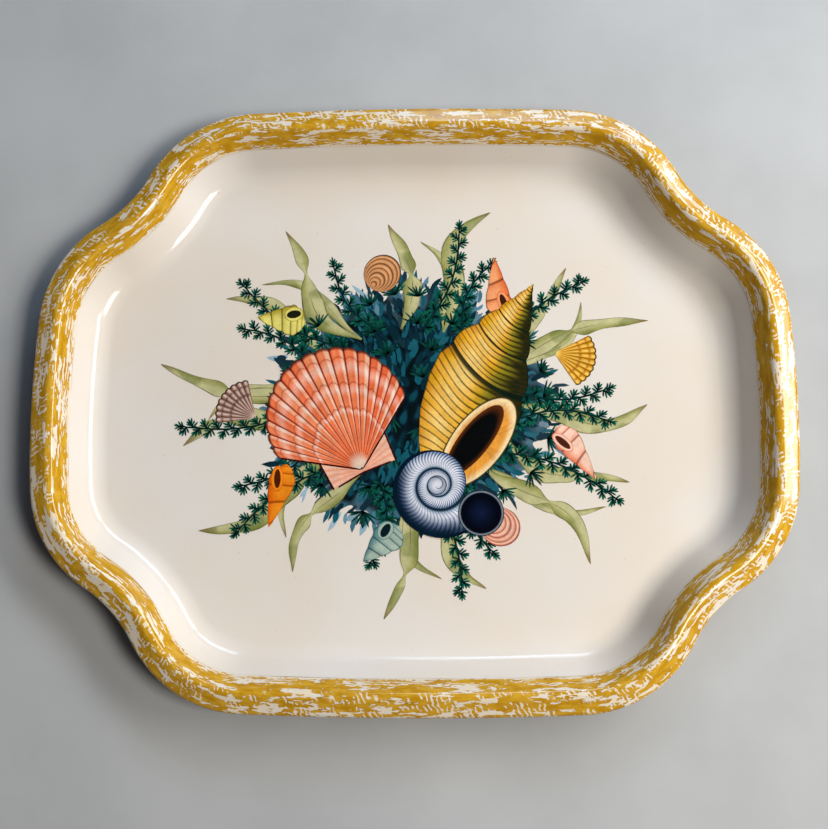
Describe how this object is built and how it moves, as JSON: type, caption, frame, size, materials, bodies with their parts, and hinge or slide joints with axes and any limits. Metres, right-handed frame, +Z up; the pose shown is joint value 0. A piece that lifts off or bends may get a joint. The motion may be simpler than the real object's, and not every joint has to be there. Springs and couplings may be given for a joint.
{
  "type": "promotional serving tray",
  "caption": "Shallow pressed-metal serving tray with an ogee-cornered outline, wired rolled rim, gold speckled border and a printed sea shell and weed picture.",
  "frame": {"origin": "centre of the underside of the floor, on the plane the tray rests on", "axes": "+X along the length, +Y across the width towards the top of the picture, +Z up out of the pan"},
  "size_m": [0.395, 0.318, 0.0222],
  "materials": {
    "enamelled_tinplate": "glossy cream enamel with a gold ochre dry-brushed border, gold lacquer underneath",
    "steel_wire": "drawn mild steel wire",
    "coral_ink": "varnished printing ink",
    "slate_blue_ink": "varnished printing ink",
    "amber_ink": "varnished printing ink",
    "orange_ink": "varnished printing ink",
    "dark_green_ink": "varnished printing ink",
    "olive_ink": "varnished printing ink",
    "teal_ink": "varnished printing ink"
  },
  "bodies": {
    "root": {"tray_pan": "enamelled_tinplate", "rim_wire": "steel_wire", "scallop_print": "coral_ink", "spiral_shell_print": "slate_blue_ink", "whelk_print": "amber_ink", "small_shells_print": "orange_ink", "fern_weed_print": "dark_green_ink", "ribbon_weed_print": "olive_ink", "blue_wash_print": "teal_ink"}
  },
  "joints": []
}
